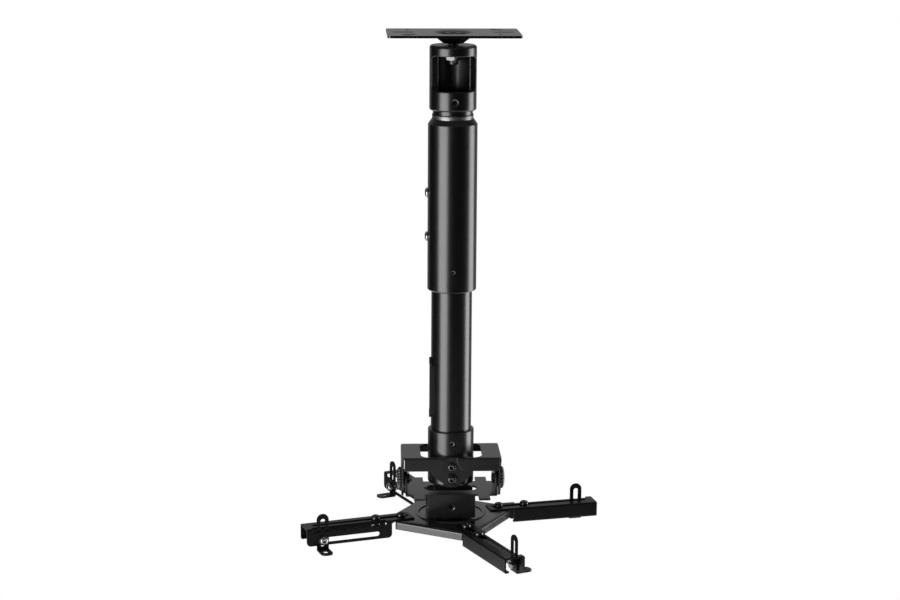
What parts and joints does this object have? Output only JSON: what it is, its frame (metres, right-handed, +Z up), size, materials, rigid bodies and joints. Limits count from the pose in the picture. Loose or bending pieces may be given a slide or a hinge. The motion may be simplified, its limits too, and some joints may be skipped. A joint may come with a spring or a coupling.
{
  "type": "projector ceiling mount",
  "caption": "Black ceiling mount: plate with ball joint, telescopic pole, roll and pitch head, and a spider of slotted arms with adjustable feet that hold a projector.",
  "frame": {"origin": "centre of the ceiling plate's top face, which lies against the ceiling", "axes": "+Z up to the ceiling, the pole hangs along -Z, -Y is the front with the collar's window, X along the plate's long side"},
  "size_m": [0.3754, 0.369, 0.6285],
  "materials": {
    "black_coat": "satin black powder coat",
    "bright_zinc": "bright zinc plating",
    "bare_steel": "plain steel",
    "black_screw": "black oxide, slightly oily",
    "black_plastic": "matt moulded"
  },
  "bodies": {
    "ceiling": {"ceiling_plate": "black_coat"},
    "cup": {"ball_cup": "black_plastic"},
    "stud": {"ball_stud": "bare_steel", "stud_washer": "bright_zinc", "stud_nut": "bright_zinc"},
    "pole": {"swivel_collar": "black_coat", "collar_set_screw": "black_screw", "neck_tube": "black_coat", "neck_ring": "bare_steel", "tube_cap": "black_coat", "outer_tube": "black_coat", "guide_bush": "black_plastic", "height_bolts": "bright_zinc", "tube_set_screw": "black_screw"},
    "drop": {"inner_tube": "black_coat", "guide_ring": "black_plastic", "cable_grommet": "black_plastic", "tilt_collar": "black_coat", "tilt_set_screw": "black_screw", "roll_pivot_screws": "black_screw", "roll_washers": "black_screw", "roll_lock_screws": "black_screw", "roll_spacers": "black_screw"},
    "saddle": {"roll_bracket": "black_coat", "pitch_knobs": "black_screw", "pitch_nuts": "bright_zinc", "pitch_spacers": "black_plastic"},
    "pitch_head": {"pitch_bracket": "black_coat", "yaw_carrier": "black_coat", "carrier_screws": "black_screw", "bearing_disc": "black_plastic", "yaw_bolt": "bright_zinc", "yaw_nut": "bright_zinc"},
    "hub": {"hub_plate": "black_coat", "arm_screws": "black_screw", "arm_nuts": "bright_zinc"},
    "arm_right_body": {"arm_right": "black_coat"},
    "foot_clamp_right": {"foot_bolt_right": "bright_zinc", "foot_washer_right": "black_screw", "foot_nut_right": "bright_zinc"},
    "foot_right": {"foot_bracket_right": "black_coat"},
    "arm_back_body": {"arm_back": "black_coat"},
    "foot_clamp_back": {"foot_bolt_back": "bright_zinc", "foot_washer_back": "black_screw", "foot_nut_back": "bright_zinc"},
    "foot_back": {"foot_bracket_back": "black_coat"},
    "arm_left_body": {"arm_left": "black_coat"},
    "foot_clamp_left": {"foot_bolt_left": "bright_zinc", "foot_washer_left": "black_screw", "foot_nut_left": "bright_zinc"},
    "foot_left": {"foot_bracket_left": "black_coat"},
    "arm_front_body": {"arm_front": "black_coat"},
    "foot_clamp_front": {"foot_bolt_front": "bright_zinc", "foot_washer_front": "black_screw", "foot_nut_front": "bright_zinc"},
    "foot_front": {"foot_bracket_front": "black_coat"}
  },
  "joints": [
    {"name": "ball_tilt_x", "type": "hinge", "parent": "ceiling", "child": "cup", "pos_m": [0, 0, -0.001], "axis": [1, 0, 0], "range_deg": [-6, 6]},
    {"name": "ball_tilt_y", "type": "hinge", "parent": "cup", "child": "stud", "pos_m": [0, 0, -0.001], "axis": [0, 1, 0], "range_deg": [-6, 6]},
    {"name": "pole_swivel", "type": "hinge", "parent": "stud", "child": "pole", "pos_m": [0, 0, 0], "axis": [0, 0, 1], "continuous": true},
    {"name": "height_slide", "type": "slide", "parent": "pole", "child": "drop", "axis": [0, 0, 1], "range_m": [-0.05, 0.055]},
    {"name": "roll", "type": "hinge", "parent": "drop", "child": "saddle", "pos_m": [0, 0, -0.548], "axis": [0, 1, 0], "range_deg": [-8, 8]},
    {"name": "pitch", "type": "hinge", "parent": "saddle", "child": "pitch_head", "pos_m": [0, 0, -0.555], "axis": [1, 0, 0], "range_deg": [-12, 12]},
    {"name": "yaw", "type": "hinge", "parent": "pitch_head", "child": "hub", "pos_m": [0, 0, -0.5995], "axis": [0, 0, 1], "continuous": true},
    {"name": "arm_right_slide", "type": "slide", "parent": "hub", "child": "arm_right_body", "axis": [0.9781, 0.2079, 0], "range_m": [-0.004, 0.005]},
    {"name": "foot_right_along", "type": "slide", "parent": "arm_right_body", "child": "foot_clamp_right", "axis": [0.9781, 0.2079, 0], "range_m": [-0.045, 0.0005]},
    {"name": "foot_right_height", "type": "slide", "parent": "foot_clamp_right", "child": "foot_right", "axis": [0, 0, 1], "range_m": [-0.017, 0.003]},
    {"name": "arm_back_slide", "type": "slide", "parent": "hub", "child": "arm_back_body", "axis": [-0.3987, 0.9171, 0], "range_m": [-0.004, 0.005]},
    {"name": "foot_back_along", "type": "slide", "parent": "arm_back_body", "child": "foot_clamp_back", "axis": [-0.3987, 0.9171, 0], "range_m": [-0.045, 0.0005]},
    {"name": "foot_back_height", "type": "slide", "parent": "foot_clamp_back", "child": "foot_back", "axis": [0, 0, 1], "range_m": [-0.017, 0.003]},
    {"name": "arm_left_slide", "type": "slide", "parent": "hub", "child": "arm_left_body", "axis": [-0.9511, -0.309, 0], "range_m": [-0.004, 0.005]},
    {"name": "foot_left_along", "type": "slide", "parent": "arm_left_body", "child": "foot_clamp_left", "axis": [-0.9511, -0.309, 0], "range_m": [-0.045, 0.0005]},
    {"name": "foot_left_height", "type": "slide", "parent": "foot_clamp_left", "child": "foot_left", "axis": [0, 0, 1], "range_m": [-0.015, 0.005]},
    {"name": "arm_front_slide", "type": "slide", "parent": "hub", "child": "arm_front_body", "axis": [0.3987, -0.9171, 0], "range_m": [-0.004, 0.005]},
    {"name": "foot_front_along", "type": "slide", "parent": "arm_front_body", "child": "foot_clamp_front", "axis": [0.3987, -0.9171, 0], "range_m": [-0.045, 0.0005]},
    {"name": "foot_front_height", "type": "slide", "parent": "foot_clamp_front", "child": "foot_front", "axis": [0, 0, 1], "range_m": [-0.018, 0.002]}
  ]
}
